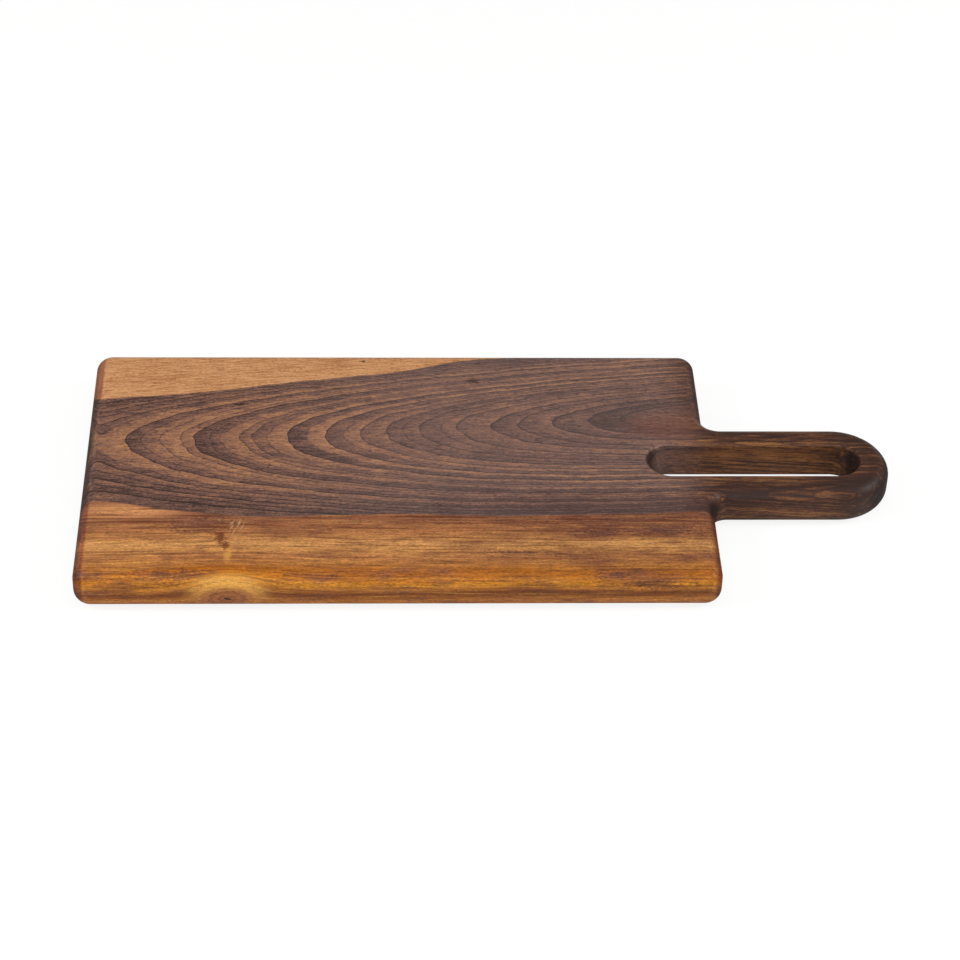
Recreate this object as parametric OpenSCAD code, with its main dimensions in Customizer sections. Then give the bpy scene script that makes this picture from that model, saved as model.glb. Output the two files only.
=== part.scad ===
/* [Body] */
// Length of the serving body, without the handle
body_l = 348; // [300:1:420]
// Width of the serving body
body_w = 200; // [170:1:240]
// Thickness of the plank
plank_t = 23; // [20:0.5:30]
// Radius of the body's corners, seen from above
corner_r = 9.5; // [9.5:0.5:20]

/* [Handle] */
// How far the handle reaches out of the body
handle_reach = 102; // [90:1:130]
// Width of the handle, which ends in a half circle
handle_w = 61; // [58:1:80]
// Radius of the inside corners where the handle leaves the body
neck_r = 9.5; // [6:0.5:16]

/* [Hand slot] */
// Wood left round the slot: its two rails and, the same width, its tip
rail_w = 17.25; // [15:0.25:22]
// How far the slot runs back into the body
slot_run_in = 34; // [24:1:50]

/* [Rolled edges] */
// Radius of the roll along the outside edges
edge_roll = 8; // [3:0.5:9]
// Radius of the roll along the rims of the slot
slot_roll = 2.5; // [1.5:0.5:5]

/* [Colour] */
// Oiled walnut heartwood
walnut = "#5e4231"; // ["#5e4231", "#7a5a42", "#4a3226"]

/* [Hidden] */
$fn = 96;

// The origin lies under the middle of the whole length, handle included
total_l = body_l + handle_reach;
tip_x = total_l / 2;
back_x = -total_l / 2;
shoulder_x = back_x + body_l;
handle_end_x = tip_x - handle_w / 2;

// The slot's front end is concentric with the handle's, one rail inside it
slot_w = handle_w - 2 * rail_w;
slot_front_x = handle_end_x;
slot_back_x = shoulder_x - slot_run_in + slot_w / 2;

// Draws its children and their mirror image across the board's long axis
module on_both_sides() {
    children();
    mirror([0, 1, 0]) children();
}

// Quarter of a disc, from its centre out along +X and down along -Y
module quarter_disc(disc_r) {
    intersection() {
        circle(disc_r);
        translate([0, -2 * disc_r]) square(2 * disc_r);
    }
}

// Section of a rolled edge: root at x = 0, nose towards +X, underside at y = 0
module rolled_section(roll_r) {
    translate([0, roll_r]) quarter_disc(roll_r);
    translate([0, roll_r]) square([roll_r, plank_t - 2 * roll_r]);
    translate([0, plank_t - roll_r]) mirror([0, 1]) quarter_disc(roll_r);
}

// Straight stretch of rolled edge along +X, with its nose towards +Y
module rolled_run(run_l, roll_r) {
    rotate([90, 0, 90]) linear_extrude(run_l) rolled_section(roll_r);
}

// Rolled edge round an outside curve, swept from +X towards +Y
module rolled_turn(turn_r, roll_r, sweep) {
    rotate_extrude(angle = sweep) translate([turn_r - roll_r, 0]) rolled_section(roll_r);
}

// Rolled edge round an inside curve, with its nose towards the centre
module rolled_cove(cove_r, roll_r, sweep) {
    rotate_extrude(angle = sweep) translate([cove_r + roll_r, 0]) mirror([1, 0]) rolled_section(roll_r);
}

// Flat part of the body in plan, inside the rolled edge
module body_flat() {
    flat_r = corner_r - edge_roll;
    for (end_x = [back_x + corner_r, shoulder_x - corner_r])
        for (side_y = [-1, 1] * (body_w / 2 - corner_r))
            translate([end_x, side_y]) circle(flat_r);
    translate([back_x + corner_r, edge_roll - body_w / 2])
        square([body_l - 2 * corner_r, body_w - 2 * edge_roll]);
    translate([back_x + edge_roll, corner_r - body_w / 2])
        square([body_l - 2 * edge_roll, body_w - 2 * corner_r]);
}

// Flat part of the handle in plan, from inside the body out to its round end
module handle_flat() {
    translate([handle_end_x, 0]) circle(handle_w / 2 - edge_roll);
    translate([shoulder_x - edge_roll, edge_roll - handle_w / 2])
        square([handle_end_x - shoulder_x + edge_roll, handle_w - 2 * edge_roll]);
}

// Flat web that fills the inside corner between the body and the handle
module neck_flat() {
    web = neck_r + edge_roll;
    difference() {
        translate([shoulder_x - edge_roll, handle_w / 2 - edge_roll]) square(web);
        translate([shoulder_x + neck_r, handle_w / 2 + neck_r]) circle(web);
    }
}

// Opening of the slot in the flat faces, with the width of its rolled rims
module slot_mouth() {
    mouth_r = slot_w / 2 + slot_roll;
    for (end_x = [slot_back_x, slot_front_x]) translate([end_x, 0]) circle(mouth_r);
    translate([slot_back_x, -mouth_r]) square([slot_front_x - slot_back_x, 2 * mouth_r]);
}

// The full thickness of the plank, out to where the rolled edges start
module plank_core() {
    linear_extrude(plank_t) difference() {
        union() {
            body_flat();
            handle_flat();
            on_both_sides() neck_flat();
        }
        slot_mouth();
    }
}

// The roll that runs unbroken round the body, the necks and the handle
module outer_roll() {
    shoulder_l = body_w / 2 - corner_r - handle_w / 2 - neck_r;
    on_both_sides() {
        translate([back_x + corner_r, body_w / 2 - edge_roll, 0])
            rolled_run(body_l - 2 * corner_r, edge_roll);
        translate([shoulder_x - corner_r, body_w / 2 - corner_r, 0])
            rolled_turn(corner_r, edge_roll, 90);
        translate([back_x + corner_r, body_w / 2 - corner_r, 0])
            rotate(90) rolled_turn(corner_r, edge_roll, 90);
        translate([shoulder_x - edge_roll, body_w / 2 - corner_r, 0])
            rotate(-90) rolled_run(shoulder_l, edge_roll);
        translate([shoulder_x + neck_r, handle_w / 2 + neck_r, 0])
            rotate(180) rolled_cove(neck_r, edge_roll, 90);
        translate([shoulder_x + neck_r, handle_w / 2 - edge_roll, 0])
            rolled_run(handle_end_x - shoulder_x - neck_r, edge_roll);
    }
    translate([back_x + edge_roll, corner_r - body_w / 2, 0])
        rotate(90) rolled_run(body_w - 2 * corner_r, edge_roll);
    translate([handle_end_x, 0, 0])
        rotate(-90) rolled_turn(handle_w / 2, edge_roll, 180);
}

// The smaller roll round both rims of the hand slot
module slot_rims() {
    on_both_sides()
        translate([slot_front_x, slot_w / 2 + slot_roll, 0])
            rotate(180) rolled_run(slot_front_x - slot_back_x, slot_roll);
    translate([slot_back_x, 0, 0]) rotate(90) rolled_cove(slot_w / 2, slot_roll, 180);
    translate([slot_front_x, 0, 0]) rotate(-90) rolled_cove(slot_w / 2, slot_roll, 180);
}

// One plank of walnut, sawn to outline in one piece with its handle
module board() {
    color(walnut) {
        plank_core();
        outer_roll();
        slot_rims();
    }
}

board();
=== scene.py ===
"""Steak board: one plank of oiled walnut, sawn with its handle and rolled along every edge."""

import logging
import math
from dataclasses import dataclass, replace
from enum import Enum
from typing import Any, Iterable, Mapping

import bpy
from mathutils import Matrix, Vector

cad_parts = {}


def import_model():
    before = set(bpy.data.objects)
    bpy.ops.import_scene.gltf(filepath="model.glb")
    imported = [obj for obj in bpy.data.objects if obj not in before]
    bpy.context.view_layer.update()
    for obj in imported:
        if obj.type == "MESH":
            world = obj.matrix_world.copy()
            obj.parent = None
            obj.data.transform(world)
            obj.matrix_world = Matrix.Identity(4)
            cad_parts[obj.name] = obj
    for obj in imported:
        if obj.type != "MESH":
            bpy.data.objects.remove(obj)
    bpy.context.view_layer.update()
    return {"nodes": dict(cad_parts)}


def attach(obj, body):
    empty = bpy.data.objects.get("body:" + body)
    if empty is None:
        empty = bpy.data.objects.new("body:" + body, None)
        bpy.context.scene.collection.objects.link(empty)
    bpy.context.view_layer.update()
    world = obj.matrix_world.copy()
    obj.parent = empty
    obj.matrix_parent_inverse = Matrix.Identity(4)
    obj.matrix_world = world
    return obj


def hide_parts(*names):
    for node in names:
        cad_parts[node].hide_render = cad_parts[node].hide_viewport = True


log = logging.getLogger("steak_board")

MM = 0.001
MATH = "ShaderNodeMath"
MIX = "ShaderNodeMix"
NOISE = "ShaderNodeTexNoise"
RAMP = "ShaderNodeValToRGB"
RANGE = "ShaderNodeMapRange"

Socket = bpy.types.NodeSocket
Tree = bpy.types.NodeTree
Place = Mapping[str, Socket]
Inputs = Mapping[str | int, Any] | Iterable[Any]
Stops = Iterable[tuple[float, str]]
Triple = tuple[float, float, float]
Span = tuple[float, float, float, float]


def linear(hex_colour: str) -> tuple[float, float, float, float]:
    """Turn an sRGB hex colour into the linear colour that a node takes.

    Args:
        hex_colour: Colour written as "#rrggbb".

    Returns:
        Red, green, blue and an alpha of 1, linear.
    """
    channels = (int(hex_colour[i:i + 2], 16) / 255 for i in (1, 3, 5))
    red, green, blue = (c / 12.92 if c <= 0.04045 else ((c + 0.055) / 1.055) ** 2.4 for c in channels)
    return red, green, blue, 1.0


def add(tree: Tree, kind: str, inputs: Inputs = (), stops: Stops = (),
        **settings: Any) -> Socket:
    """Add one node, set its properties, and link or set its inputs.

    Args:
        tree: Node tree that gets the node.
        kind: Identifier of the node's type.
        inputs: Values or sockets, by input name or in the order of the inputs in use.
        stops: Places from 0 to 1 on a colour ramp, and the sRGB hex colour at each.
        **settings: Properties of the node.

    Returns:
        The node's first output in use, or its first input if it has no output.
    """
    node = tree.nodes.new(kind)
    for name, value in settings.items():
        setattr(node, name, value)
    for i, (at, shade) in enumerate(stops):
        stop = node.color_ramp.elements[i] if i < 2 else node.color_ramp.elements.new(at)
        stop.position, stop.color = at, linear(shade)
    in_use = [socket for socket in node.inputs if socket.enabled]
    pairs = inputs.items() if isinstance(inputs, Mapping) else enumerate(inputs)
    for key, value in pairs:
        socket = in_use[key] if isinstance(key, int) else next(s for s in in_use if s.name == key)
        if isinstance(value, Socket):
            tree.links.new(value, socket)
        else:
            socket.default_value = value
    outputs = [socket for socket in node.outputs if socket.enabled]
    return outputs[0] if outputs else node.inputs[0]


class Edge(Enum):
    """Which kind of sawn edge a roll runs round: an outside edge or the rim of an opening."""

    OUTSIDE = "outside"
    OPENING = "opening"


@dataclass(frozen=True)
class Ring:
    """One growth ring: where its early wood starts and how light it is.

    Args:
        radius: Distance from the pith in millimetres.
        tone: 0 for purple-brown wood, 1 for tan wood.
    """

    radius: float
    tone: float


@dataclass(frozen=True)
class Mark:
    """A small mark in the wood's face: its centre and half size in millimetres, and its strength."""

    centre: Triple
    half_size: Triple
    strength: float


@dataclass(frozen=True)
class KnotPart:
    """One part of the knot, an oval with rings round its middle.

    Args:
        half_l: Half length in millimetres.
        half_h: Half height in millimetres.
        ragged: How far the fibres fray it.
        rings: Number of its rings.
        ring_shade: How strong each ring is, from its inside to its outside.
        cover: How strongly the part covers the wood, from past its rim to its middle.
    """

    half_l: float
    half_h: float
    ragged: float
    rings: float
    ring_shade: Span
    cover: Span


@dataclass(frozen=True)
class WalnutFinish:
    """Oiled walnut, planed and sanded: dark heartwood with purple-brown rings, honey sapwood.

    The pores and rings stay visible under the oil, and the oil gives a soft satin gloss. All of it
    is one solid figure, so that the rings of the face run on over the edges and into the end grain.
    Lengths are in millimetres. A span gives two measures, such as places along x, and then the
    value at each.
    """

    name: str = "walnut_oiled"
    thickness: float = 23.0

    # Heartwood from dark to light, on the body and then on the handle
    late_wood: str = "#33231f"
    heart_dark: str = "#4f3830"
    heart_mid: str = "#755449"
    heart_tan: str = "#996a4f"
    heart_light: str = "#b9865c"
    # A greyish tint over the heartwood, which paints a sheen of reflected light
    heart_sheen: str = "#7f6a66"
    handle_dark: str = "#372017"
    handle_mid: str = "#563625"
    handle_tan: str = "#80522f"
    handle_light: str = "#97683c"

    # Rear sapwood from light to dark, then the streaks and patches of the front sapwood
    sap_light: str = "#d69f6f"
    sap_mid: str = "#c38a5b"
    sap_dark: str = "#a56b42"
    streak: str = "#6e381d"
    gold: str = "#d8994a"
    brown: str = "#7d4b33"

    # Marks on the face, the branch's pale flecks, the knot and its halo
    stain: str = "#673f35"
    blush_orange: str = "#dc9862"
    eye_red: str = "#7d4a38"
    band_red: str = "#4e251a"
    pale: str = "#cda377"
    halo: str = "#f1b053"
    knot_brown: str = "#a0623c"
    knot_dark: str = "#33190f"

    # Tints of the end grain, and of the roll beside the left end
    end_heart: str = "#8f817b"
    end_sap: str = "#a08472"
    left_heart: str = "#948c88"
    left_sap: str = "#c8a098"

    # Gloss and relief. Fibres, pores and end grain each add their share to the roughness
    ior: float = 1.47
    specular: float = 0.24
    roughness: float = 0.44
    roughening: Triple = (0.12, 0.20, 0.25)
    relief: float = 0.30
    relief_depth: float = 0.1

    # Place of the pith by powers of x, and how the rings round it differ from circles
    pith_across: tuple[float, ...] = (26.8, 6.2, 0.85)
    pith_depth: tuple[float, ...] = (55.5, -9.1, 2.55, 0.59)
    pith_straight: float = 125.0
    pith_sink: float = 0.05
    lean: float = 0.076
    lean_from: float = 50.0
    widening: float = 0.066
    widening_reach: float = 15.0
    flat_from: float = 0.26
    flattening: Span = (58.0, 66.0, -6.0, -2.5)
    flat_fade: Span = (78.0, 90.0, 1.0, 0.0)

    # Late wood: how it darkens through a ring, and the reach and strength of its dark line
    late_slow: Span = (0.05, 1.0, 0.0, 0.32)
    line_reach: tuple[float, float] = (0.42, 0.08)
    line_dark: float = 0.80

    # Ring radius at the borders of the sapwood, and where each wood lies
    rear_border: Span = (-220.0, -150.0, 91.5, 87.6)
    rear_step: Span = (-50.0, -10.0, 0.0, 5.0)
    front_border: Span = (-150.0, -30.0, 93.8, 87.2)
    pith_front: Span = (5.0, -5.0, 0.0, 1.0)
    front_zone: Span = (-20.0, -40.0, 0.0, 1.0)
    border_blur: Span = (-0.4, 0.5, 0.0, 1.0)
    handle_zone: Span = (96.0, 130.0, 0.0, 1.0)

    # Shade of the heartwood, and what its figures and places add to it
    heart_shade: float = 0.48
    tone_shade: tuple[float, float] = (0.46, -0.18)
    late_shade: float = -0.45
    mottle_shade: float = 0.45
    handle_keep: float = 0.45
    ring_gain: Span = (-40.0, 60.0, 1.0, 1.3)
    edge_zone: Span = (-24.0, -2.0, 0.0, 1.0)
    edge_shade: Span = (-120.0, 20.0, -0.02, -0.28)
    tip_shade: Span = (185.0, 215.0, 0.0, -0.36)
    rail_shade: Span = (0.0, 20.0, 0.0, -0.09)
    # Painted light in the slot: the walls inside it are lightened
    wall_painted_light: Span = (13.5, 16.0, 0.16, 0.0)
    strand_shade: Span = (0.32, 0.70, 0.42, -0.33)
    strand_slope: float = 0.07
    # Share of the painted sheen's tint by x, rising to the right
    sheen_share: Span = (-140.0, -30.0, 0.0, 0.30)

    # Rear sapwood: width of its rings, its shade, and what rings, fibres and mottle add to it
    rear_ring: float = 2.0
    rear_shades: tuple[float, ...] = (0.64, -0.24, 1.7, 0.6)

    # Front sapwood: how its streaks run, and where they are brown, dark and golden
    lane_fold: float = 0.9
    lane_tilt: Span = (-130.0, 10.0, -1.8, 0.0)
    streak_drift: float = 7.0
    brown_share: Span = (-60.0, 40.0, 0.05, 0.50)
    brown_lanes: Span = (60.0, 88.0, 1.0, 0.15)
    brown_mottle: float = 3.4
    brown_cover: Span = (0.0, 0.7, 0.0, 0.85)
    streak_dark: Span = (0.51, 0.66, 0.0, 1.0)
    streak_lanes: Span = (60.0, 70.0, 0.95, 0.60)
    streak_gold: Span = (0.44, 0.26, 0.0, 0.50)
    right_dim: Span = (-50.0, 40.0, 1.0, 0.88)
    fibre_contrast: float = 1.7

    # Knot: its place along x and its lane, how the streaks part round it, and what it is made of
    knot: tuple[float, float] = (-142.5, 113.5)
    knot_parting: float = 120.0
    knot_slimness: float = 0.70
    knot_halo: KnotPart = KnotPart(22.0, 16.0, 0.6, 5.0, (0.3, 1.0, 1.0, 0.35), (1.20, 0.75, 0.0, 0.95))
    knot_core: KnotPart = KnotPart(16.0, 7.6, 0.5, 3.2, (0.3, 0.95, 0.0, 1.0), (1.20, 0.55, 0.0, 0.9))
    knot_eye: Span = (0.12, 0.05, 0.0, 1.0)
    halo_top: Span = (3.0, -9.0, 0.0, 1.0)

    # Small marks: how the fibres fray them and how they fade, and the flecks over the branch
    mark_fray: float = 1.6
    mark_fade: tuple[float, float] = (1.0, 0.35)
    fleck_slant: float = -0.4
    fleck_light: Span = (0.50, 0.62, 0.0, 1.0)

    # End grain: how far a face turns before it shows, and where the roll beside the left end darkens
    end_turn: Span = (0.38, 0.82, 0.0, 1.0)
    left_from: tuple[float, float] = (-220.4, -218.8)
    left_fade: float = 1.8

    # Noise: repeats in a millimetre along, across and through the plank. A drift has its reach and
    # detail beside them, and a fibre pattern its detail: coarse and fine fibres, pores, mottle
    drifts: tuple[tuple[Triple, Triple, float], ...] = (
        ((0.008, 0.022, 0.022), (4.0, 3.0, 0.8), 1.0),
        ((0.05, 0.08, 0.08), (9.0, 2.4, 0.4), 3.0),
    )
    fibre_noise: tuple[tuple[Triple, float], ...] = (
        ((0.11, 0.85, 0.85), 4.0), ((0.55, 1.7, 1.7), 2.0),
        ((0.20, 1.7, 1.7), 1.0), ((0.03, 0.09, 0.09), 3.0),
    )
    strand_noise: Triple = (0.005, 0.45, 0.45)
    streak_noise: tuple[Triple, Triple] = ((0.010, 0.10, 0.0), (0.018, 0.62, 0.0))
    fleck_noise: Triple = (1.1, 0.14, 0.0)
    fibre_fine: float = 1.1
    pore_limit: Span = (0.55, 0.68, 0.0, 1.0)
    pore_dark: tuple[float, float] = (0.60, 0.26)

    # Growth rings of the heartwood, and the front sapwood's colour by lane
    rings: tuple[Ring, ...] = (
        Ring(48.5, 0.36), Ring(49.8, 0.02), Ring(50.7, 0.30), Ring(51.9, 0.52), Ring(53.5, 0.38),
        Ring(54.7, 0.60), Ring(56.7, 0.65), Ring(57.5, 0.40), Ring(59.0, 0.45), Ring(60.1, 0.30),
        Ring(61.1, 0.65), Ring(62.9, 0.85), Ring(64.1, 0.40), Ring(65.5, 1.00), Ring(66.8, 0.22),
        Ring(68.2, 0.95), Ring(69.7, 0.50), Ring(70.7, 0.65), Ring(71.5, 0.88), Ring(72.9, 0.42),
        Ring(73.7, 0.25), Ring(74.9, 0.80), Ring(75.8, 0.95), Ring(77.1, 0.75), Ring(78.4, 0.30),
        Ring(79.6, 0.90), Ring(81.7, 0.35), Ring(83.0, 0.60), Ring(84.6, 0.35), Ring(86.4, 0.50),
        Ring(88.0, 0.22), Ring(90.0, 0.30), Ring(96.0, 0.20),
    )
    honey: tuple[tuple[float, str], ...] = (
        (48.0, "#8f5b3e"), (56.0, "#98613c"), (62.0, "#a86c40"), (68.0, "#bb7f48"),
        (73.0, "#cc9155"), (78.0, "#c2864a"), (83.0, "#b27442"), (90.0, "#b67538"),
        (96.0, "#a55d11"), (101.0, "#c07317"), (105.0, "#ca8424"), (107.5, "#b57028"),
        (109.5, "#753d12"), (111.5, "#91541b"), (114.0, "#b67232"), (124.0, "#9a653a"),
    )

    # Specks and broad marks on the face, the stains, and the trace of the knot's branch
    specks: tuple[Mark, ...] = (
        Mark((-141.5, 50.0, 23.0), (4.0, 1.4, 2.0), 1.0),
        Mark((-70.5, 91.0, 23.0), (2.4, 1.2, 2.0), 0.8),
        Mark((-96.0, -21.0, 23.0), (2.6, 1.0, 2.0), 0.7),
        Mark((-7.0, 72.0, 23.0), (6.0, 2.4, 2.0), 0.55),
    )
    eye: Mark = Mark((100.0, 30.0, 23.0), (28.0, 15.0, 12.0), 0.45)
    band: Mark = Mark((70.0, -38.0, 23.0), (130.0, 15.0, 14.0), 0.24)
    stains: tuple[Mark, ...] = (
        Mark((82.0, -56.0, 23.0), (46.0, 14.0, 10.0), 0.45),
        Mark((98.0, -61.0, 23.0), (20.0, 4.5, 6.0), 0.75),
        Mark((58.0, -64.0, 23.0), (20.0, 4.0, 6.0), 0.60),
        Mark((10.0, -80.0, 23.0), (26.0, 2.6, 6.0), 0.75),
        Mark((62.0, -97.0, 23.0), (16.0, 2.4, 6.0), 0.65),
        Mark((88.0, -99.0, 17.0), (20.0, 4.0, 4.0), 0.55),
        Mark((-157.0, -56.0, 23.0), (22.0, 9.0, 6.0), 0.65),
        Mark((-168.0, -97.0, 22.0), (34.0, 4.0, 5.0), 0.60),
    )
    blush: Mark = Mark((-198.0, -45.0, 23.0), (40.0, 9.0, 10.0), 0.75)
    trace: tuple[Mark, ...] = (
        Mark((-147.0, -67.5, 23.0), (3.2, 9.0, 4.0), 0.90),
        Mark((-144.0, -73.5, 23.0), (3.0, 7.0, 4.0), 0.90),
    )
    flecks: Mark = Mark((-138.5, -58.5, 23.0), (6.0, 9.0, 4.0), 0.7)
    pale_line: Mark = Mark((-142.8, -80.0, 23.0), (2.8, 10.0, 6.0), 0.5)

    def build(self) -> bpy.types.Material:
        """Build the finish as a node material that reads Object coordinates.

        Returns:
            The material.
        """
        material = bpy.data.materials.new(self.name)
        material.use_nodes = True
        tree = material.node_tree
        tree.nodes.clear()
        place = self._place(tree)
        radius, side = self._radius(tree, place)
        tone, late = self._rings(tree, radius, side)
        fibre, pores, mottle = self._fibres(tree, place)
        past, lower = self._border(tree, place, radius, side)
        heart = self._heartwood(tree, place, (tone, late, fibre, mottle), (past, lower))
        heart = self._mark(tree, place, fibre, heart, (self.eye,), self.eye_red)
        heart = self._mark(tree, place, fibre, heart, (self.band,), self.band_red)
        rear = self._rear_sapwood(tree, radius, fibre, mottle)
        front = self._front_sapwood(tree, place, fibre, mottle)
        near = add(tree, RANGE, (place["y"], *self.front_zone), interpolation_type="SMOOTHSTEP")
        outer = add(tree, MIX, (near, rear, front), data_type="RGBA")
        sap = add(tree, RANGE, (past, *self.border_blur), interpolation_type="SMOOTHSTEP")
        wood = add(tree, MIX, (sap, heart, outer), data_type="RGBA")
        dark = add(tree, RANGE, (sap, 0.0, 1.0, *self.pore_dark))
        dark = add(tree, MATH, (pores, dark), operation="MULTIPLY")
        wood = add(tree, MIX, (dark, wood, linear(self.late_wood)), data_type="RGBA")
        wood = self._mark(tree, place, fibre, wood, self.specks, self.knot_dark)
        wood, end = self._end_grain(tree, place, wood, sap)
        rough: Socket | float = self.roughness
        for figure, share in zip((fibre, pores, end), self.roughening):
            rough = add(tree, MATH, (figure, share, rough), operation="MULTIPLY_ADD")
        relief = add(tree, MATH, (pores, -1.0, fibre), operation="MULTIPLY_ADD")
        bump = add(tree, "ShaderNodeBump",
                   {"Strength": self.relief, "Distance": self.relief_depth * MM, "Height": relief})
        shader = add(tree, "ShaderNodeBsdfPrincipled",
                     {"Base Color": wood, "Roughness": rough, "Normal": bump, "IOR": self.ior,
                      "Specular IOR Level": self.specular})
        add(tree, "ShaderNodeOutputMaterial", {"Surface": shader})
        return material

    def _place(self, tree: Tree) -> Place:
        """Read the place in the plank in millimetres, wandered a little as real rings are.

        The slow drift is long along the grain. The quick one puts small kinks in the arches.

        Args:
            tree: Node tree of the finish.

        Returns:
            The exact position and its x, y and z, and the wandered position's x, y and z.
        """
        metres = add(tree, "ShaderNodeTexCoord").node.outputs["Object"]
        exact = add(tree, "ShaderNodeVectorMath", {"Vector": metres, "Scale": 1.0 / MM}, operation="SCALE")
        moved = exact
        for stretch, reach, detail in self.drifts:
            drift = add(tree, "ShaderNodeVectorMath", (exact, stretch), operation="MULTIPLY")
            drift = add(tree, NOISE, {"Vector": drift, "Scale": 1.0, "Detail": detail})
            drift = add(tree, "ShaderNodeVectorMath", (drift.node.outputs["Color"], (-0.5, -0.5, -0.5)),
                        operation="ADD")
            moved = add(tree, "ShaderNodeVectorMath", (drift, reach, moved), operation="MULTIPLY_ADD")
        plain = add(tree, "ShaderNodeSeparateXYZ", (exact,)).node.outputs
        wandered = add(tree, "ShaderNodeSeparateXYZ", (moved,)).node.outputs
        return {"exact": exact, "x": plain[0], "y": plain[1], "z": plain[2],
                "wx": wandered[0], "wy": wandered[1], "wz": wandered[2]}

    def _pith(self, tree: Tree, place: Place) -> tuple[Socket, Socket]:
        """Work out where a point lies from the pith, which runs below the plank.

        The pith comes nearer to the face along the body, which draws the arches. Its place is given
        by powers of x in hundreds of millimetres. Along the handle it runs straight, so the streaks
        there lie along the grip.

        Args:
            tree: Node tree of the finish.
            place: Position sockets in millimetres.

        Returns:
            Millimetres across from the pith, and above it.
        """
        grip = add(tree, MATH, (place["wx"], self.pith_straight), operation="SUBTRACT")
        grip = add(tree, MATH, (grip, 0.0), operation="MAXIMUM")
        along = add(tree, MATH, (place["wx"], grip), operation="SUBTRACT")
        along = add(tree, MATH, (along, 100.0), operation="DIVIDE")
        *terms, line = self.pith_across
        for term in reversed(terms):
            line = add(tree, MATH, (along, line, term), operation="MULTIPLY_ADD")
        *terms, depth = self.pith_depth
        for term in reversed(terms):
            depth = add(tree, MATH, (along, depth, term), operation="MULTIPLY_ADD")
        depth = add(tree, MATH, (grip, self.pith_sink, depth), operation="MULTIPLY_ADD")
        above = add(tree, MATH, (place["wz"], self.thickness), operation="SUBTRACT")
        above = add(tree, MATH, (depth, above), operation="ADD")
        return add(tree, MATH, (place["wy"], line), operation="SUBTRACT"), above

    def _radius(self, tree: Tree, place: Place) -> tuple[Socket, Socket]:
        """Work out the radius of the growth ring that a point lies on.

        The outer rings lean to the front, and all rings are wider apart in front of the pith and
        flatter behind it.

        Args:
            tree: Node tree of the finish.
            place: Position sockets in millimetres.

        Returns:
            The ring radius in millimetres, and the signed distance across from the pith.
        """
        across, above = self._pith(tree, place)
        above_2 = add(tree, MATH, (above, above), operation="MULTIPLY")
        plain = add(tree, MATH, (across, across, above_2), operation="MULTIPLY_ADD")
        plain = add(tree, MATH, (plain,), operation="SQRT")
        outer = add(tree, MATH, (plain, self.lean_from), operation="SUBTRACT")
        across = add(tree, MATH, (outer, self.lean, across), operation="MULTIPLY_ADD")
        scale = add(tree, MATH, (across, self.widening_reach), operation="DIVIDE")
        scale = add(tree, MATH, (scale,), operation="TANH")
        scale = add(tree, MATH, (scale, self.widening, 1.0), operation="MULTIPLY_ADD")
        across = add(tree, MATH, (across, scale), operation="MULTIPLY")
        radius = add(tree, MATH, (across, across, above_2), operation="MULTIPLY_ADD")
        radius = add(tree, MATH, (radius,), operation="SQRT")
        behind = add(tree, MATH, (across, radius), operation="DIVIDE")
        behind = add(tree, MATH, (behind, self.flat_from), operation="ADD")
        behind = add(tree, MATH, (behind, 0.0), operation="MAXIMUM")
        behind = add(tree, MATH, (behind, behind), operation="MULTIPLY")
        flat = add(tree, RANGE, (radius, *self.flattening))
        fade = add(tree, RANGE, (radius, *self.flat_fade))
        flat = add(tree, MATH, (flat, fade), operation="MULTIPLY")
        return add(tree, MATH, (behind, flat, radius), operation="MULTIPLY_ADD"), across

    def _rings(self, tree: Tree, radius: Socket, side: Socket) -> tuple[Socket, Socket]:
        """Turn the ring radius into the tone of the ring and its late wood.

        Late wood darkens slowly and ends in a thin dark line. The line is drawn about 0.8 mm wide
        on the face, so that it shows wherever the rings are cut at a slant.

        Args:
            tree: Node tree of the finish.
            radius: Ring radius in millimetres.
            side: Signed distance across from the pith.

        Returns:
            Tone of the ring, and strength of its late wood.
        """
        first, last = self.rings[0].radius, self.rings[-1].radius
        count = len(self.rings) - 1
        share = add(tree, RANGE, (radius, first, last, 0.0, 1.0))
        number = add(tree, "ShaderNodeFloatCurve", {"Value": share})
        curve = number.node.mapping.curves[0]
        for i, ring in enumerate(self.rings[1:-1], start=1):
            curve.points.new((ring.radius - first) / (last - first), i / count)
        for point in curve.points:
            point.handle_type = "VECTOR"
        number.node.mapping.update()
        number = add(tree, MATH, (number, float(count)), operation="MULTIPLY")
        within = add(tree, MATH, (number,), operation="FRACT")
        middle = add(tree, MATH, (number,), operation="FLOOR")
        middle = add(tree, MATH, (middle, 1.0 / count, 0.5 / count), operation="MULTIPLY_ADD")
        tones = add(tree, RAMP, (middle,))
        ramp = tones.node.color_ramp
        ramp.interpolation = "CONSTANT"
        ramp.elements.remove(ramp.elements[-1])
        for i, ring in enumerate(self.rings[:-1]):
            element = ramp.elements.new(i / count) if i else ramp.elements[0]
            element.color = (ring.tone, ring.tone, ring.tone, 1.0)
        slow = add(tree, RANGE, (within, *self.late_slow))
        slant = add(tree, MATH, (side, radius), operation="DIVIDE")
        slant = add(tree, MATH, (slant,), operation="ABSOLUTE")
        reach = add(tree, MATH, (slant, *self.line_reach), operation="MULTIPLY_ADD")
        left = add(tree, MATH, (1.0, within), operation="SUBTRACT")
        line = add(tree, RANGE, (left, 0.0, reach, self.line_dark, 0.0))
        return tones, add(tree, MATH, (slow, line), operation="ADD")

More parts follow.
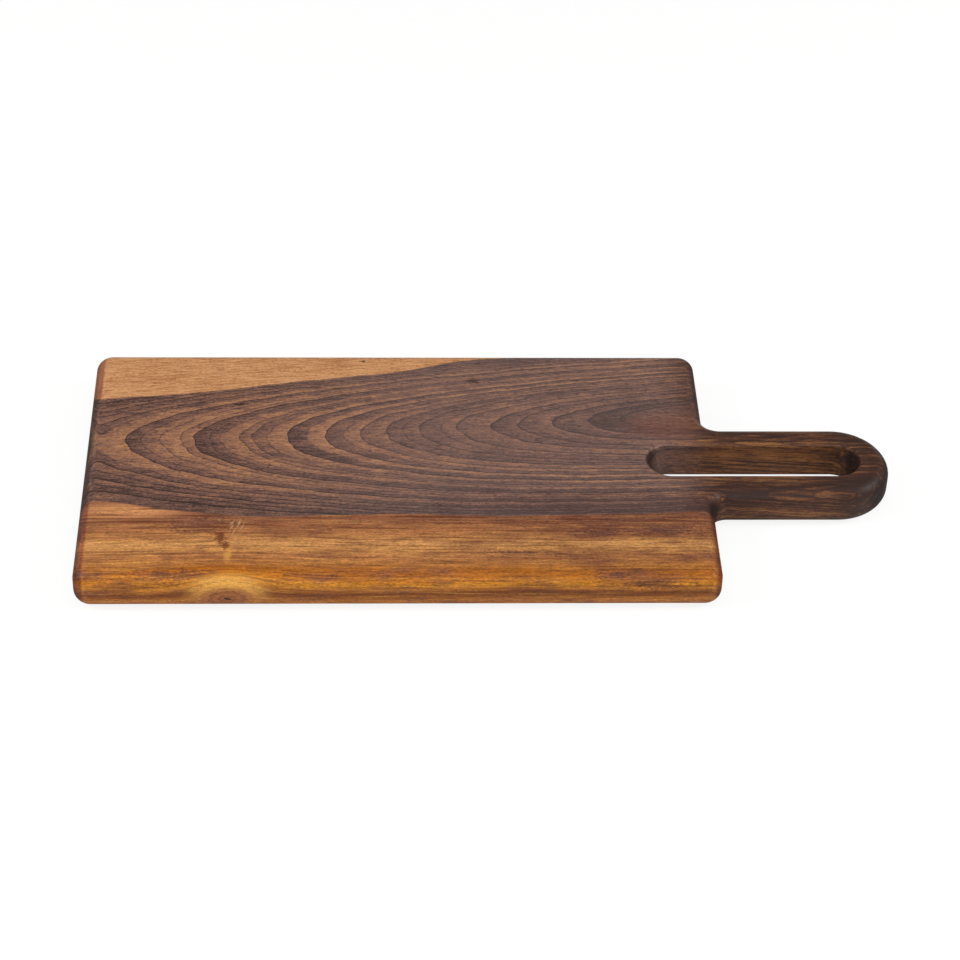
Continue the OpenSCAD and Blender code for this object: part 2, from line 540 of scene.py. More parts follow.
    def _fibres(self, tree: Tree, place: Place) -> tuple[Socket, Socket, Socket]:
        """Draw the fibres, the pores and the mottle, all stretched along the plank.

        Walnut's pores are 0.2 mm wide. They are drawn 0.5 mm wide and 5 mm long, so that they show.

        Args:
            tree: Node tree of the finish.
            place: Position sockets in millimetres.

        Returns:
            Fibre tone about 0, pore strength from 0 to 1, and mottle about 0.
        """
        figures = []
        for stretch, detail in self.fibre_noise:
            place_in = add(tree, "ShaderNodeVectorMath", (place["exact"], stretch), operation="MULTIPLY")
            figures.append(add(tree, NOISE, {"Vector": place_in, "Scale": 1.0, "Detail": detail,
                                             "Roughness": 0.6}))
        coarse, fine, dashes, cloud = figures
        coarse = add(tree, MATH, (coarse, 0.5), operation="SUBTRACT")
        fine = add(tree, MATH, (fine, 0.5), operation="SUBTRACT")
        fibre = add(tree, MATH, (fine, self.fibre_fine, coarse), operation="MULTIPLY_ADD")
        pores = add(tree, RANGE, (dashes, *self.pore_limit))
        return fibre, pores, add(tree, MATH, (cloud, 0.5), operation="SUBTRACT")

    def _border(self, tree: Tree, place: Place, radius: Socket, side: Socket) -> tuple[Socket, Socket]:
        """Find where heartwood turns to sapwood, which follows a ring on either side.

        Args:
            tree: Node tree of the finish.
            place: Position sockets in millimetres.
            radius: Ring radius in millimetres.
            side: Signed distance across from the pith.

        Returns:
            Millimetres past the border, and 1 on the front side of the pith.
        """
        front, rear, step = (add(tree, RANGE, (place["x"], *span), interpolation_type="SMOOTHSTEP")
                             for span in (self.front_border, self.rear_border, self.rear_step))
        rear = add(tree, MATH, (rear, step), operation="ADD")
        lower = add(tree, RANGE, (side, *self.pith_front))
        limit = add(tree, MIX, (lower, rear, front), data_type="FLOAT")
        return add(tree, MATH, (radius, limit), operation="SUBTRACT"), lower

    def _heartwood(self, tree: Tree, place: Place, figure: tuple[Socket, Socket, Socket, Socket],
                   border: tuple[Socket, Socket]) -> Socket:
        """Colour the heartwood from its rings: greyer to the right with a painted sheen, dark along its
        front border.

        The handle's rings are cut along the grain, so long strands take their place there. Its tip and rear
        rail are darker, and the walls of the slot are lighter with painted light.

        Args:
            tree: Node tree of the finish.
            place: Position sockets in millimetres.
            figure: Tone of the ring, its late wood, the fibre tone and the mottle.
            border: Millimetres past the border, and 1 on the front side of the pith.

        Returns:
            The heartwood's colour.
        """
        tone, late, fibre, mottle = figure
        past, lower = border
        handle = add(tree, RANGE, (place["x"], *self.handle_zone), interpolation_type="SMOOTHSTEP")
        gain = add(tree, RANGE, (place["x"], *self.ring_gain))
        keep = add(tree, RANGE, (handle, 0.0, 1.0, gain, self.handle_keep))
        rough = add(tree, RANGE, (handle, 0.0, 1.0, 1.0, self.handle_keep))
        ring = add(tree, MATH, (tone, *self.tone_shade), operation="MULTIPLY_ADD")
        ring = add(tree, MATH, (late, self.late_shade, ring), operation="MULTIPLY_ADD")
        amount = add(tree, RANGE, (place["x"], *self.edge_shade))
        edge = add(tree, RANGE, (past, *self.edge_zone))
        edge = add(tree, MATH, (edge, amount), operation="MULTIPLY")
        strand = self._strands(tree, place)
        tip = add(tree, RANGE, (place["x"], *self.tip_shade))
        rail = add(tree, RANGE, (place["y"], *self.rail_shade))
        # Painted light that lightens the slot's walls
        beside = add(tree, MATH, (place["y"],), operation="ABSOLUTE")
        wall_light = add(tree, RANGE, (beside, *self.wall_painted_light))
        shade: Socket | float = self.heart_shade
        for part, share in ((ring, keep), (fibre, rough), (mottle, self.mottle_shade), (edge, lower),
                            (strand, handle), (tip, 1.0), (rail, handle), (wall_light, handle)):
            shade = add(tree, MATH, (part, share, shade), operation="MULTIPLY_ADD")
        face = add(tree, RAMP, (shade,), stops=(
            (0.0, self.late_wood), (0.22, self.heart_dark), (0.45, self.heart_mid),
            (0.68, self.heart_tan), (0.95, self.heart_light)))
        # Painted sheen of reflected light: the heartwood turns greyer to the right
        sheen_mix = add(tree, RANGE, (place["x"], *self.sheen_share))
        face = add(tree, MIX, (sheen_mix, face, linear(self.heart_sheen)), data_type="RGBA")
        grip = add(tree, RAMP, (shade,), stops=(
            (0.05, self.late_wood), (0.24, self.handle_dark), (0.48, self.handle_mid),
            (0.70, self.handle_tan), (0.95, self.handle_light)))
        return add(tree, MIX, (handle, face, grip), data_type="RGBA")

    def _strands(self, tree: Tree, place: Place) -> Socket:
        """Draw the handle's long strands, which run on from the face down its sides.

        Args:
            tree: Node tree of the finish.
            place: Position sockets in millimetres.

        Returns:
            What the strands add to the shade.
        """
        slope = add(tree, MATH, (place["x"], self.strand_slope, place["z"]), operation="MULTIPLY_ADD")
        strand = add(tree, "ShaderNodeCombineXYZ", (place["x"], place["wy"], slope))
        strand = add(tree, "ShaderNodeVectorMath", (strand, self.strand_noise), operation="MULTIPLY")
        strand = add(tree, NOISE, {"Vector": strand, "Scale": 1.0, "Detail": 4.0, "Roughness": 0.72})
        return add(tree, RANGE, (strand, *self.strand_shade))

    def _rear_sapwood(self, tree: Tree, radius: Socket, fibre: Socket, mottle: Socket) -> Socket:
        """Colour the pale sapwood behind the heartwood, with faint rings 2 mm apart.

        Args:
            tree: Node tree of the finish.
            radius: Ring radius in millimetres.
            fibre: Fibre tone.
            mottle: Slow change of tone.

        Returns:
            The rear sapwood's colour.
        """
        faint = add(tree, MATH, (radius, self.rear_ring), operation="DIVIDE")
        faint = add(tree, MATH, (faint,), operation="FRACT")
        shade, *shares = self.rear_shades
        for part, share in zip((faint, fibre, mottle), shares):
            shade = add(tree, MATH, (part, share, shade), operation="MULTIPLY_ADD")
        return add(tree, RAMP, (shade,),
                   stops=((0.12, self.sap_dark), (0.5, self.sap_mid), (0.85, self.sap_light)))

    def _lanes(self, tree: Tree, place: Place) -> tuple[Socket, Socket, Socket]:
        """Number the streaks of the front sapwood, which part round the knot.

        A streak's lane is its distance from the board's long axis, counted across the face and then
        down the front edge.

        Args:
            tree: Node tree of the finish.
            place: Position sockets in millimetres.

        Returns:
            The lane, and the millimetres along and down from the knot.
        """
        down = add(tree, MATH, (self.thickness, place["z"]), operation="SUBTRACT")
        down = add(tree, MATH, (down, self.lane_fold), operation="MULTIPLY")
        lane = add(tree, MATH, (down, place["y"]), operation="SUBTRACT")
        along = add(tree, MATH, (place["x"], self.knot[0]), operation="SUBTRACT")
        over = add(tree, MATH, (lane, self.knot[1]), operation="SUBTRACT")
        wide = add(tree, MATH, (along, self.knot_slimness), operation="MULTIPLY")
        wide = add(tree, MATH, (wide, wide), operation="MULTIPLY")
        far = add(tree, MATH, (over, over, wide), operation="MULTIPLY_ADD")
        far = add(tree, MATH, (far, self.knot_parting), operation="MAXIMUM")
        part = add(tree, MATH, (self.knot_parting, far), operation="DIVIDE")
        bend = add(tree, MATH, (part, over), operation="MULTIPLY")
        return add(tree, MATH, (lane, bend), operation="SUBTRACT"), along, over

    def _front_sapwood(self, tree: Tree, place: Place, fibre: Socket, mottle: Socket) -> Socket:
        """Colour the honey sapwood in front: broad streaks, brown patches, stains and thin streaks.

        Args:
            tree: Node tree of the finish.
            place: Position sockets in millimetres.
            fibre: Fibre tone.
            mottle: Slow change of tone.

        Returns:
            The front sapwood's colour.
        """
        lane, along, over = self._lanes(tree, place)
        run = add(tree, "ShaderNodeCombineXYZ", (place["x"], lane, 0.0))
        streaks = []
        for stretch in self.streak_noise:
            place_in = add(tree, "ShaderNodeVectorMath", (run, stretch), operation="MULTIPLY")
            streaks.append(add(tree, NOISE, {"Vector": place_in, "Scale": 1.0, "Detail": 3.0}))
        broad, narrow = streaks
        broad = add(tree, MATH, (broad, 0.5), operation="SUBTRACT")
        drifted = add(tree, MATH, (broad, self.streak_drift, lane), operation="MULTIPLY_ADD")
        tilt = add(tree, RANGE, (place["x"], *self.lane_tilt))
        drifted = add(tree, MATH, (drifted, tilt), operation="ADD")
        first, last = self.honey[0][0], self.honey[-1][0]
        share = add(tree, RANGE, (drifted, first, last, 0.0, 1.0))
        colour = add(tree, RAMP, (share,),
                     stops=[((at - first) / (last - first), shade) for at, shade in self.honey])
        right = add(tree, RANGE, (place["x"], *self.brown_share))
        strip = add(tree, RANGE, (lane, *self.brown_lanes))
        patch = add(tree, MATH, (right, strip), operation="MULTIPLY")
        patch = add(tree, MATH, (mottle, self.brown_mottle, patch), operation="MULTIPLY_ADD")
        patch = add(tree, RANGE, (patch, *self.brown_cover))
        colour = add(tree, MIX, (patch, colour, linear(self.brown)), data_type="RGBA")
        colour = self._mark(tree, place, fibre, colour, (self.blush,), self.blush_orange)
        colour = self._mark(tree, place, fibre, colour, self.stains, self.stain)
        thin = add(tree, RANGE, (narrow, *self.streak_dark))
        near = add(tree, RANGE, (lane, *self.streak_lanes))
        thin = add(tree, MATH, (thin, near), operation="MULTIPLY")
        colour = add(tree, MIX, (thin, colour, linear(self.streak)), data_type="RGBA")
        bright = add(tree, RANGE, (narrow, *self.streak_gold))
        colour = add(tree, MIX, (bright, colour, linear(self.gold)), data_type="RGBA")
        dim = add(tree, RANGE, (place["x"], *self.right_dim), interpolation_type="SMOOTHSTEP")
        colour = add(tree, MIX, (1.0, colour, dim), data_type="RGBA", blend_type="MULTIPLY")
        fine = add(tree, MATH, (fibre, self.fibre_contrast, 1.0), operation="MULTIPLY_ADD")
        colour = add(tree, MIX, (1.0, colour, fine), data_type="RGBA", blend_type="MULTIPLY")
        colour = self._branch(tree, place, colour, fibre)
        return self._knot(tree, colour, (along, over, fibre))

    def _branch(self, tree: Tree, place: Place, colour: Socket, fibre: Socket) -> Socket:
        """Draw the trace that the knot's branch leaves on the face: pale line, dark bars, flecks.

        Args:
            tree: Node tree of the finish.
            place: Position sockets in millimetres.
            colour: Colour of the wood.
            fibre: Fibre tone.

        Returns:
            The colour with the trace.
        """
        colour = self._mark(tree, place, fibre, colour, (self.pale_line,), self.halo)
        colour = self._mark(tree, place, fibre, colour, self.trace, self.streak)
        spot = self._spot(tree, place, self.flecks, fibre)
        slant = add(tree, MATH, (place["y"], self.fleck_slant, place["x"]), operation="MULTIPLY_ADD")
        light = add(tree, "ShaderNodeCombineXYZ", (slant, place["y"], 0.0))
        light = add(tree, "ShaderNodeVectorMath", (light, self.fleck_noise), operation="MULTIPLY")
        light = add(tree, NOISE, {"Vector": light, "Scale": 1.0, "Detail": 1.0})
        light = add(tree, RANGE, (light, *self.fleck_light))
        light = add(tree, MATH, (light, spot), operation="MULTIPLY")
        return add(tree, MIX, (light, colour, linear(self.pale)), data_type="RGBA")

    def _knot(self, tree: Tree, colour: Socket, near: tuple[Socket, Socket, Socket]) -> Socket:
        """Draw the knot low on the front edge, with a ringed golden halo over it and a dark eye.

        Args:
            tree: Node tree of the finish.
            colour: Colour of the wood.
            near: Millimetres along and down from the knot, and the fibre tone.

        Returns:
            The colour with the knot.
        """
        along, over, fibre = near
        found = []
        for part in (self.knot_halo, self.knot_core):
            far_l = add(tree, MATH, (along, part.half_l), operation="DIVIDE")
            far_l = add(tree, MATH, (far_l, far_l), operation="MULTIPLY")
            far_h = add(tree, MATH, (over, part.half_h), operation="DIVIDE")
            far = add(tree, MATH, (far_h, far_h, far_l), operation="MULTIPLY_ADD")
            far = add(tree, MATH, (far,), operation="SQRT")
            far = add(tree, MATH, (fibre, part.ragged, far), operation="MULTIPLY_ADD")
            turn = add(tree, MATH, (far, part.rings), operation="MULTIPLY")
            turn = add(tree, MATH, (turn,), operation="FRACT")
            turn = add(tree, RANGE, (turn, *part.ring_shade))
            cover = add(tree, RANGE, (far, *part.cover), interpolation_type="SMOOTHSTEP")
            found.append((far, turn, cover))
        (_, glow, lit), (core, turn, inner) = found
        above = add(tree, RANGE, (over, *self.halo_top), interpolation_type="SMOOTHSTEP")
        for share in (above, glow):
            lit = add(tree, MATH, (lit, share), operation="MULTIPLY")
        colour = add(tree, MIX, (lit, colour, linear(self.halo)), data_type="RGBA")
        brown = add(tree, MIX, (turn, linear(self.knot_brown), linear(self.streak)), data_type="RGBA")
        colour = add(tree, MIX, (inner, colour, brown), data_type="RGBA")
        eye = add(tree, RANGE, (core, *self.knot_eye), interpolation_type="SMOOTHSTEP")
        return add(tree, MIX, (eye, colour, linear(self.knot_dark)), data_type="RGBA")

    def _spot(self, tree: Tree, place: Place, mark: Mark, fibre: Socket) -> Socket:
        """Work out how strongly a small mark, ragged along the fibres, covers a point.

        Args:
            tree: Node tree of the finish.
            place: Position sockets in millimetres.
            mark: The mark.
            fibre: Fibre tone.

        Returns:
            0 outside the mark, rising to its strength.
        """
        off = add(tree, "ShaderNodeVectorMath", (place["exact"], mark.centre), operation="SUBTRACT")
        off = add(tree, "ShaderNodeVectorMath", (off, mark.half_size), operation="DIVIDE")
        far = add(tree, "ShaderNodeVectorMath", (off,), operation="LENGTH")
        far = add(tree, MATH, (fibre, self.mark_fray, far), operation="MULTIPLY_ADD")
        return add(tree, RANGE, (far, *self.mark_fade, 0.0, mark.strength),
                   interpolation_type="SMOOTHSTEP")

    def _mark(self, tree: Tree, place: Place, fibre: Socket, wood: Socket,
              marks: tuple[Mark, ...], shade: str) -> Socket:
        """Lay small marks of one colour over the wood.

        Args:
            tree: Node tree of the finish.
            place: Position sockets in millimetres.
            fibre: Fibre tone.
            wood: Colour of the wood.
            marks: The marks.
            shade: Their sRGB hex colour.

        Returns:
            The colour with the marks.
        """
        for mark in marks:
            spot = self._spot(tree, place, mark, fibre)
            wood = add(tree, MIX, (spot, wood, linear(shade)), data_type="RGBA")
        return wood

    def _end_grain(self, tree: Tree, place: Place, wood: Socket, sap: Socket) -> tuple[Socket, Socket]:
        """Darken and dull the end grain, whose open fibres drink more oil.

        On the left end the roll beside it is darker too, red-brown in the sapwood.

        Args:
            tree: Node tree of the finish.
            place: Position sockets in millimetres.
            wood: Colour of the wood.
            sap: 1 in sapwood and 0 in heartwood.

        Returns:
            The colour with the end grain darkened, and 1 on end grain and 0 along the grain.
        """
        normal = add(tree, "ShaderNodeTexCoord").node.outputs["Normal"]
        end = add(tree, "ShaderNodeSeparateXYZ", (normal,))
        end = add(tree, MATH, (end,), operation="ABSOLUTE")
        end = add(tree, RANGE, (end, *self.end_turn), interpolation_type="SMOOTHSTEP")
        tint = add(tree, MIX, (sap, linear(self.end_heart), linear(self.end_sap)), data_type="RGBA")
        wood = add(tree, MIX, (end, wood, tint), data_type="RGBA", blend_type="MULTIPLY")
        start = add(tree, RANGE, (sap, 0.0, 1.0, *self.left_from))
        stop = add(tree, MATH, (start, self.left_fade), operation="SUBTRACT")
        left = add(tree, RANGE, (place["x"], start, stop, 0.0, 1.0), interpolation_type="SMOOTHSTEP")
        left = add(tree, RANGE, (end, 0.0, 1.0, left, 0.0))
        tint = add(tree, MIX, (sap, linear(self.left_heart), linear(self.left_sap)), data_type="RGBA")
        wood = add(tree, MIX, (left, wood, tint), data_type="RGBA", blend_type="MULTIPLY")
        return wood, end


@dataclass
class Board:
    """The plank: body, handle and hand slot, with a rolled edge round every outline.

    Sizes are in millimetres. The origin lies under the middle of the whole length. The lip is the
    narrow flat strip that a roll's section adds beside the roll, and points nearer to each other
    than the weld are merged.
    """

    node: str = "board"
    body_l: float = 348.0
    body_w: float = 200.0
    plank_t: float = 23.0
    corner_r: float = 9.5
    handle_reach: float = 102.0
    handle_w: float = 61.0
    neck_r: float = 9.5
    rail_w: float = 17.25
    slot_run_in: float = 34.0
    edge_roll: float = 8.0
    slot_roll: float = 2.5
    lip: float = 1.0
    weld: float = 0.01
    turn_steps: int = 28
    roll_steps: int = 12
    finish: WalnutFinish = WalnutFinish()

    def outline(self) -> list[Triple]:
        """Give the outside corners in plan, counter-clockwise.

        Returns:
            Each corner's x and y and the radius that rounds it.
        """
        tip = (self.body_l + self.handle_reach) / 2
        back = -tip
        shoulder = back + self.body_l
        side, grip = self.body_w / 2, self.handle_w / 2
        return [(back, -side, self.corner_r), (shoulder, -side, self.corner_r),
                (shoulder, -grip, self.neck_r), (tip, -grip, grip), (tip, grip, grip),
                (shoulder, grip, self.neck_r), (shoulder, side, self.corner_r), (back, side, self.corner_r)]

    def opening(self) -> list[Triple]:
        """Give the hand slot's corners in plan, clockwise, so that its roll faces inwards.

        Returns:
            Each corner's x and y and the radius that rounds it.
        """
        half = self.handle_w / 2 - self.rail_w
        back = (self.body_l - self.handle_reach) / 2 - self.slot_run_in
        front = (self.body_l + self.handle_reach) / 2 - self.rail_w
        return [(back, -half, half), (back, half, half), (front, half, half), (front, -half, half)]

    def build(self) -> bpy.types.Object:
        """Build the plank's mesh from its two outlines and dress it.

        Returns:
            The plank as a plain mesh at the origin.
        """
        material = replace(self.finish, thickness=self.plank_t).build()
        skins = [self._rolled_skin(self.outline(), self.edge_roll, Edge.OUTSIDE, material),
                 self._rolled_skin(self.opening(), self.slot_roll, Edge.OPENING, material)]
        holder = self._join_skins(skins)
        tree = self._close_tree(material)
        mesh = self._bake(holder, tree, {"Thickness": self.plank_t * MM, "Weld": self.weld * MM})
        piece = bpy.data.objects.new("plank", mesh)
        bpy.context.scene.collection.objects.link(piece)
        return piece

    def _rolled_skin(self, corners: list[Triple], roll: float, edge: Edge,
                     material: bpy.types.Material) -> bpy.types.Mesh:
        """Sweep one rolled section round an outline with Geometry Nodes.

        Args:
            corners: Corners of the outline with their radii, in millimetres.
            roll: Radius of the roll in millimetres.
            edge: Whether the outline is the outside or an opening.
            material: Finish of the plank.

        Returns:
            The rolled skin as a mesh, open towards the flat faces.
        """
        mesh = bpy.data.meshes.new(f"{edge.value}_corners")
        count = len(corners)
        mesh.from_pydata([(x * MM, y * MM, 0.0) for x, y, _ in corners],
                         [(i, (i + 1) % count) for i in range(count)], [])
        radii = mesh.attributes.new("corner_radius", "FLOAT", "POINT")
        radii.data.foreach_set("value", [r * MM for _, _, r in corners])
        holder = bpy.data.objects.new(f"{edge.value}_outline", mesh)
        bpy.context.scene.collection.objects.link(holder)
        tree = self._roll_tree(material)
        return self._bake(holder, tree, {
            "Thickness": self.plank_t * MM, "Roll": roll * MM, "Lip": self.lip * MM,
            "Weld": self.weld * MM, "Turn Steps": self.turn_steps, "Roll Steps": self.roll_steps})

    def _roll_tree(self, material: bpy.types.Material) -> Tree:
        """Build the node tree that rounds an outline and sweeps the rolled section round it.

        Args:
            material: Finish of the plank.

        Returns:
            The node tree.
        """
        tree = bpy.data.node_groups.new("rolled_edge", "GeometryNodeTree")
        face = tree.interface
        face.new_socket("Geometry", in_out="INPUT", socket_type="NodeSocketGeometry")
        for name in ("Thickness", "Roll", "Lip", "Weld"):
            face.new_socket(name, in_out="INPUT", socket_type="NodeSocketFloat")
        for name in ("Turn Steps", "Roll Steps"):
            face.new_socket(name, in_out="INPUT", socket_type="NodeSocketInt")
        face.new_socket("Geometry", in_out="OUTPUT", socket_type="NodeSocketGeometry")
        group = tree.nodes.new("NodeGroupInput").outputs
        half = add(tree, MATH, (group["Thickness"], 0.5), operation="MULTIPLY")
        path = self._rounded_path(tree, group)
        section = self._rolled_section(tree, group, half)
        level = add(tree, "GeometryNodeSetCurveNormal", {"Curve": path}, mode="Z_UP")
        skin = add(tree, "GeometryNodeCurveToMesh", {"Curve": level, "Profile Curve": section})
        skin = add(tree, "GeometryNodeFlipFaces", {"Mesh": skin})
        lift = add(tree, "ShaderNodeCombineXYZ", (0.0, 0.0, half))
        skin = add(tree, "GeometryNodeSetPosition", {"Geometry": skin, "Offset": lift})
        real = add(tree, "GeometryNodeRealizeInstances", (skin,))
        done = add(tree, "GeometryNodeSetMaterial", {"Geometry": real, "Material": material})
        tree.links.new(done, tree.nodes.new("NodeGroupOutput").inputs[0])
        return tree

    def _rounded_path(self, tree: Tree, group: Mapping[str, Socket]) -> Socket:
        """Round each corner of the outline by its own radius.

        Args:
            tree: Node tree of the rolled edge.
            group: Inputs of the tree.

        Returns:
            The path of the roll, a closed curve without double points.
        """
        radius = add(tree, "GeometryNodeInputNamedAttribute", {"Name": "corner_radius"}, data_type="FLOAT")
        path = add(tree, "GeometryNodeMeshToCurve", {0: group["Geometry"]})
        path = add(tree, "GeometryNodeFilletCurve", {"Curve": path, "Radius": radius,
                   "Limit Radius": True, "Count": group["Turn Steps"]}, mode="POLY")
        path = add(tree, "GeometryNodeCurveToMesh", {"Curve": path})
        path = add(tree, "GeometryNodeMergeByDistance", {"Geometry": path, "Distance": group["Weld"]})
        return add(tree, "GeometryNodeMeshToCurve", {0: path})

    def _rolled_section(self, tree: Tree, group: Mapping[str, Socket], half: Socket) -> Socket:
        """Draw the section of the edge, from the top's lip round both rolls to the underside's lip.

        It has four corners, root, nose, nose and root. Both noses are rounded by the roll.

        Args:
            tree: Node tree of the rolled edge.
            group: Inputs of the tree.
            half: Half of the plank's thickness.

        Returns:
            The section as an open curve.
        """
        low_half = add(tree, MATH, (half, -1.0), operation="MULTIPLY")
        root = add(tree, MATH, (group["Roll"], group["Lip"]), operation="ADD")
        root = add(tree, MATH, (root, -1.0), operation="MULTIPLY")
        index = add(tree, "GeometryNodeInputIndex")
        nose = add(tree, "FunctionNodeCompare", (index, 1), data_type="INT", operation="GREATER_EQUAL")
        before = add(tree, "FunctionNodeCompare", (index, 2), data_type="INT", operation="LESS_EQUAL")
        nose = add(tree, "FunctionNodeBooleanMath", (nose, before), operation="AND")
        upper = add(tree, "FunctionNodeCompare", (index, 1), data_type="INT", operation="LESS_EQUAL")
        out_x = add(tree, "GeometryNodeSwitch", (nose, root, 0.0), input_type="FLOAT")
        out_y = add(tree, "GeometryNodeSwitch", (upper, low_half, half), input_type="FLOAT")
        corner = add(tree, "ShaderNodeCombineXYZ", (out_x, out_y, 0.0))
        section = add(tree, "GeometryNodeCurvePrimitiveLine")
        section = add(tree, "GeometryNodeResampleCurve", {"Curve": section, "Count": 4}, mode="COUNT")
        section = add(tree, "GeometryNodeSetPosition", {"Geometry": section, "Position": corner})
        bent = add(tree, "GeometryNodeSwitch", (nose, 0.0, group["Roll"]), input_type="FLOAT")
        return add(tree, "GeometryNodeFilletCurve", {"Curve": section, "Radius": bent,
                   "Limit Radius": False, "Count": group["Roll Steps"]}, mode="POLY")

    def _close_tree(self, material: bpy.types.Material) -> Tree:
        """Build the node tree that closes the rolled skins with the flat faces.

        Args:
            material: Finish of the plank.

        Returns:
            The node tree.
        """
        tree = bpy.data.node_groups.new("flat_faces", "GeometryNodeTree")
        face = tree.interface
        face.new_socket("Geometry", in_out="INPUT", socket_type="NodeSocketGeometry")
        for name in ("Thickness", "Weld"):
            face.new_socket(name, in_out="INPUT", socket_type="NodeSocketFloat")
        face.new_socket("Geometry", in_out="OUTPUT", socket_type="NodeSocketGeometry")
        group = tree.nodes.new("NodeGroupInput").outputs
        skin, thick = group["Geometry"], group["Thickness"]
        rim = add(tree, "GeometryNodeInputMeshEdgeNeighbors")
        rim = add(tree, "FunctionNodeCompare", (rim, 1), data_type="INT", operation="EQUAL")
        place = add(tree, "GeometryNodeInputPosition")
        height = add(tree, "ShaderNodeSeparateXYZ", (place,)).node.outputs["Z"]
        middle = add(tree, MATH, (thick, 0.5), operation="MULTIPLY")
        high = add(tree, "FunctionNodeCompare", (height, middle), data_type="FLOAT",
                   operation="GREATER_THAN")
        edges = add(tree, "FunctionNodeBooleanMath", (rim, high), operation="AND")
        loops = add(tree, "GeometryNodeMeshToCurve", {"Mesh": skin, "Selection": edges})
        flat = add(tree, "GeometryNodeFillCurve", {"Curve": loops}, mode="TRIANGLES")
        lift = add(tree, "ShaderNodeCombineXYZ", (0.0, 0.0, thick))
        top = add(tree, "GeometryNodeTransform", {"Geometry": flat, "Translation": lift})
        under = add(tree, "GeometryNodeFlipFaces", {"Mesh": flat})
        join = add(tree, "GeometryNodeJoinGeometry")
        for part in (skin, top, under):
            tree.links.new(part, join.node.inputs[0])
        whole = add(tree, "GeometryNodeMergeByDistance", {"Geometry": join, "Distance": group["Weld"]})
        whole = add(tree, "GeometryNodeSetShadeSmooth", {"Geometry": whole})
        real = add(tree, "GeometryNodeRealizeInstances", (whole,))
        done = add(tree, "GeometryNodeSetMaterial", {"Geometry": real, "Material": material})
        tree.links.new(done, tree.nodes.new("NodeGroupOutput").inputs[0])
        return tree

    def _join_skins(self, skins: list[bpy.types.Mesh]) -> bpy.types.Object:
        """Put the rolled skins into one object, which the flat faces then close.

        Args:
            skins: Meshes of the rolled edges.

        Returns:
            The object that holds all skins.
        """
        verts: list[Vector] = []
        faces: list[list[int]] = []
        for skin in skins:
            start = len(verts)
            verts.extend(v.co.copy() for v in skin.vertices)
            faces.extend([start + i for i in face.vertices] for face in skin.polygons)
        mesh = bpy.data.meshes.new("skins")
        mesh.from_pydata(verts, [], faces)
        holder = bpy.data.objects.new("skins", mesh)
        bpy.context.scene.collection.objects.link(holder)
        return holder

    def _bake(self, holder: bpy.types.Object, tree: Tree,
              sizes: Mapping[str, float]) -> bpy.types.Mesh:
        """Run a node tree on an object, keep the plain mesh and remove the object.

        Args:
            holder: Object that the tree starts from.
            tree: Geometry node tree.
            sizes: Values of the tree's named inputs.

        Returns:
            The result as a plain mesh.
        """
        modifier = holder.modifiers.new("shape", "NODES")
        modifier.node_group = tree
        for item in tree.interface.items_tree:
            if item.in_out == "INPUT" and item.name in sizes:
                modifier[item.identifier] = sizes[item.name]
        graph = bpy.context.evaluated_depsgraph_get()
        mesh = bpy.data.meshes.new_from_object(holder.evaluated_get(graph))
        holder.modifiers.remove(modifier)
        bpy.data.objects.remove(holder)
        return mesh


@dataclass(frozen=True)
class View:
    """The camera: where it aims and how it is tilted, turned and rolled.

    Lengths are in metres, lens and sensor in millimetres, and angles in degrees.
    """

    aim: Triple = (-0.00453, 0.00252, 0.00599)
    distance: float = 1.6058
    tilt: float = 39.22
    turn: float = -2.919
    roll: float = 1.830
    lens: float = 106.94
    sensor: float = 36.0
    clip: tuple[float, float] = (0.05, 20.0)

    def build(self) -> bpy.types.Object:
        """Make the camera and set it as the scene's.

        Returns:
            The camera object.
        """
        data = bpy.data.cameras.new("view")
        data.sensor_fit, data.sensor_width, data.lens = "HORIZONTAL", self.sensor, self.lens
        data.clip_start, data.clip_end = self.clip
        camera = bpy.data.objects.new("view", data)
        turned = (Matrix.Rotation(math.radians(self.turn), 4, "Z")
                  @ Matrix.Rotation(math.radians(90 - self.tilt), 4, "X")
                  @ Matrix.Rotation(math.radians(self.roll), 4, "Z"))
        back = turned @ Vector((0.0, 0.0, self.distance))
        camera.matrix_world = Matrix.Translation(Vector(self.aim) + back) @ turned
        bpy.context.scene.collection.objects.link(camera)
        bpy.context.scene.camera = camera
        return camera


@dataclass(frozen=True)
class Lamp:
    """One soft box: its place and aim in metres, its size in metres and its power in watts."""

    name: str
    place: Triple
    size: tuple[float, float]
    power: float
    aim: Triple = (0.0, 0.0, 0.0)

    def build(self) -> bpy.types.Object:
        """Make the soft box, turned towards its aim.

        Returns:
            The lamp object.
        """
        data = bpy.data.lights.new(self.name, "AREA")
        data.shape, data.size, data.size_y, data.energy = "RECTANGLE", *self.size, self.power
        lamp = bpy.data.objects.new(self.name, data)
        lamp.location = self.place
        towards = Vector(self.aim) - Vector(self.place)
        lamp.rotation_euler = towards.to_track_quat("-Z", "Y").to_euler()
        bpy.context.scene.collection.objects.link(lamp)
        return lamp


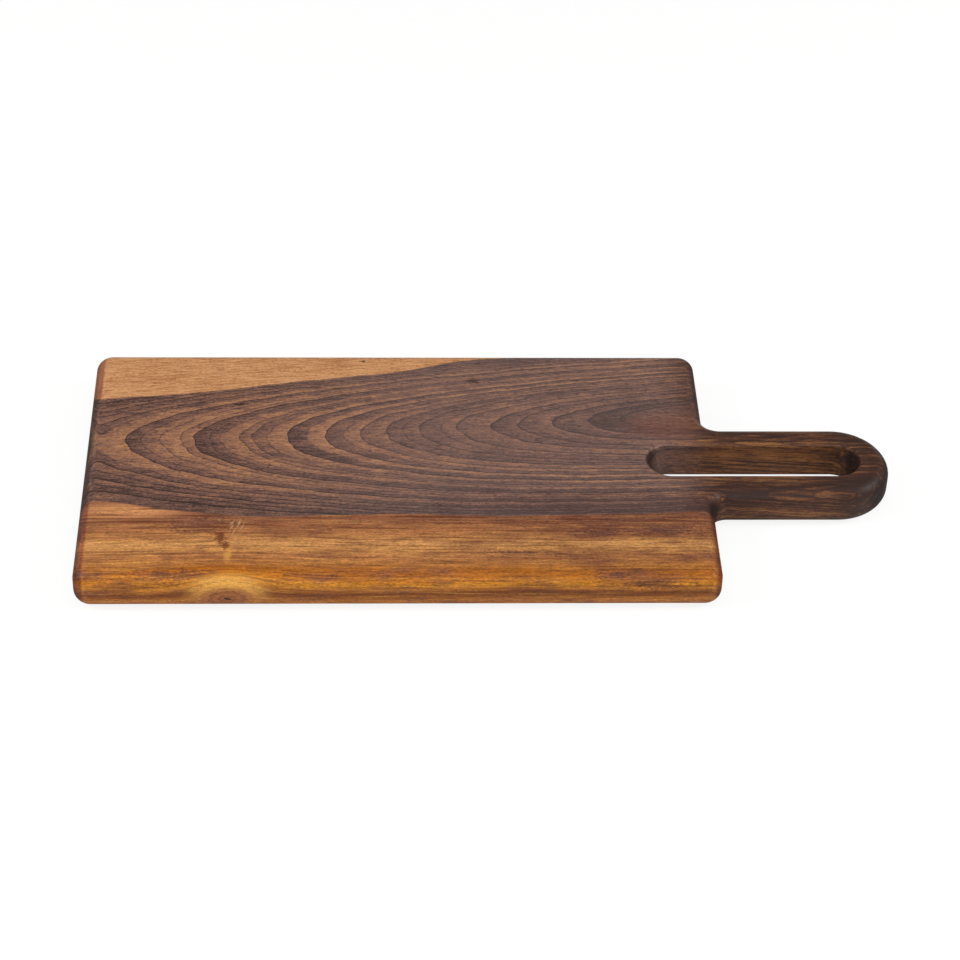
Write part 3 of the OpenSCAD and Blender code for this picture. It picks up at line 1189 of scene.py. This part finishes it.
@dataclass(frozen=True)
class Studio:
    """A pale floor and plain soft light, under which a colour renders about as it is written."""

    floor_colour: str = "#f2f2f0"
    world_strength: float = 0.32
    floor_size: float = 2.4
    floor_glow: float = 0.80
    glow_strength: float = 1.06
    white: tuple[float, float, float, float] = (1.0, 1.0, 1.0, 1.0)
    lamps: tuple[Lamp, ...] = (
        Lamp("soft_box_left", (-1.4, -0.1, 0.9), (0.5, 0.5), 11.0),
        Lamp("soft_box_right", (1.4, -0.1, 0.9), (0.5, 0.5), 11.0),
        Lamp("soft_box_above", (0.0, -0.2, 1.7), (1.2, 0.8), 4.0),
        Lamp("front_fill", (0.0, -1.7, 1.2), (1.2, 0.7), 11.5),
    )

    def build(self) -> None:
        """Make the world, the lamps and the floor."""
        scene = bpy.context.scene
        scene.view_settings.view_transform = "Standard"
        self._world(scene)
        for lamp in self.lamps:
            lamp.build()
        self._floor()

    def _world(self, scene: bpy.types.Scene) -> None:
        """Light the scene evenly, and show white behind it.

        Args:
            scene: Scene that gets the world.
        """
        world = bpy.data.worlds.new("studio")
        world.use_nodes = True
        scene.world = world
        tree = world.node_tree
        tree.nodes.clear()
        rays = add(tree, "ShaderNodeLightPath").node.outputs
        seen = add(tree, MATH, (rays["Is Camera Ray"], rays["Is Transmission Ray"]), operation="MAXIMUM")
        strength = add(tree, RANGE, (seen, 0.0, 1.0, self.world_strength, 1.0))
        sky = add(tree, "ShaderNodeBackground", {"Color": self.white, "Strength": strength})
        add(tree, "ShaderNodeOutputWorld", {"Surface": sky})

    def _floor(self) -> None:
        """Lay a pale floor that the camera sees as white and that keeps the shadow."""
        half = self.floor_size / 2
        mesh = bpy.data.meshes.new("floor")
        mesh.from_pydata([(-half, -half, 0.0), (half, -half, 0.0), (half, half, 0.0), (-half, half, 0.0)],
                         [], [(0, 1, 2, 3)])
        material = bpy.data.materials.new("studio_floor")
        material.use_nodes = True
        tree = material.node_tree
        tree.nodes.clear()
        rays = add(tree, "ShaderNodeLightPath").node.outputs
        matte = add(tree, "ShaderNodeBsdfDiffuse", {"Color": linear(self.floor_colour)})
        glow = add(tree, "ShaderNodeEmission", {"Color": self.white, "Strength": self.glow_strength})
        share = add(tree, MATH, (rays["Is Camera Ray"], self.floor_glow), operation="MULTIPLY")
        surface = add(tree, "ShaderNodeMixShader", (share, matte, glow))
        add(tree, "ShaderNodeOutputMaterial", {"Surface": surface})
        mesh.materials.append(material)
        floor = bpy.data.objects.new("floor", mesh)
        bpy.context.scene.collection.objects.link(floor)


def main() -> None:
    """Build the board, the studio and the camera."""
    logging.basicConfig(level=logging.INFO, format="%(name)s: %(message)s")
    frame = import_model()
    log.info("frame has %d node(s)", len(frame["nodes"]))
    board = Board()
    piece = board.build()
    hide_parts(board.node)
    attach(piece, "root")
    log.info("%s: %d faces", piece.name, len(piece.data.polygons))
    Studio().build()
    View().build()
    log.info("sizes written")


if __name__ == "__main__":
    main()
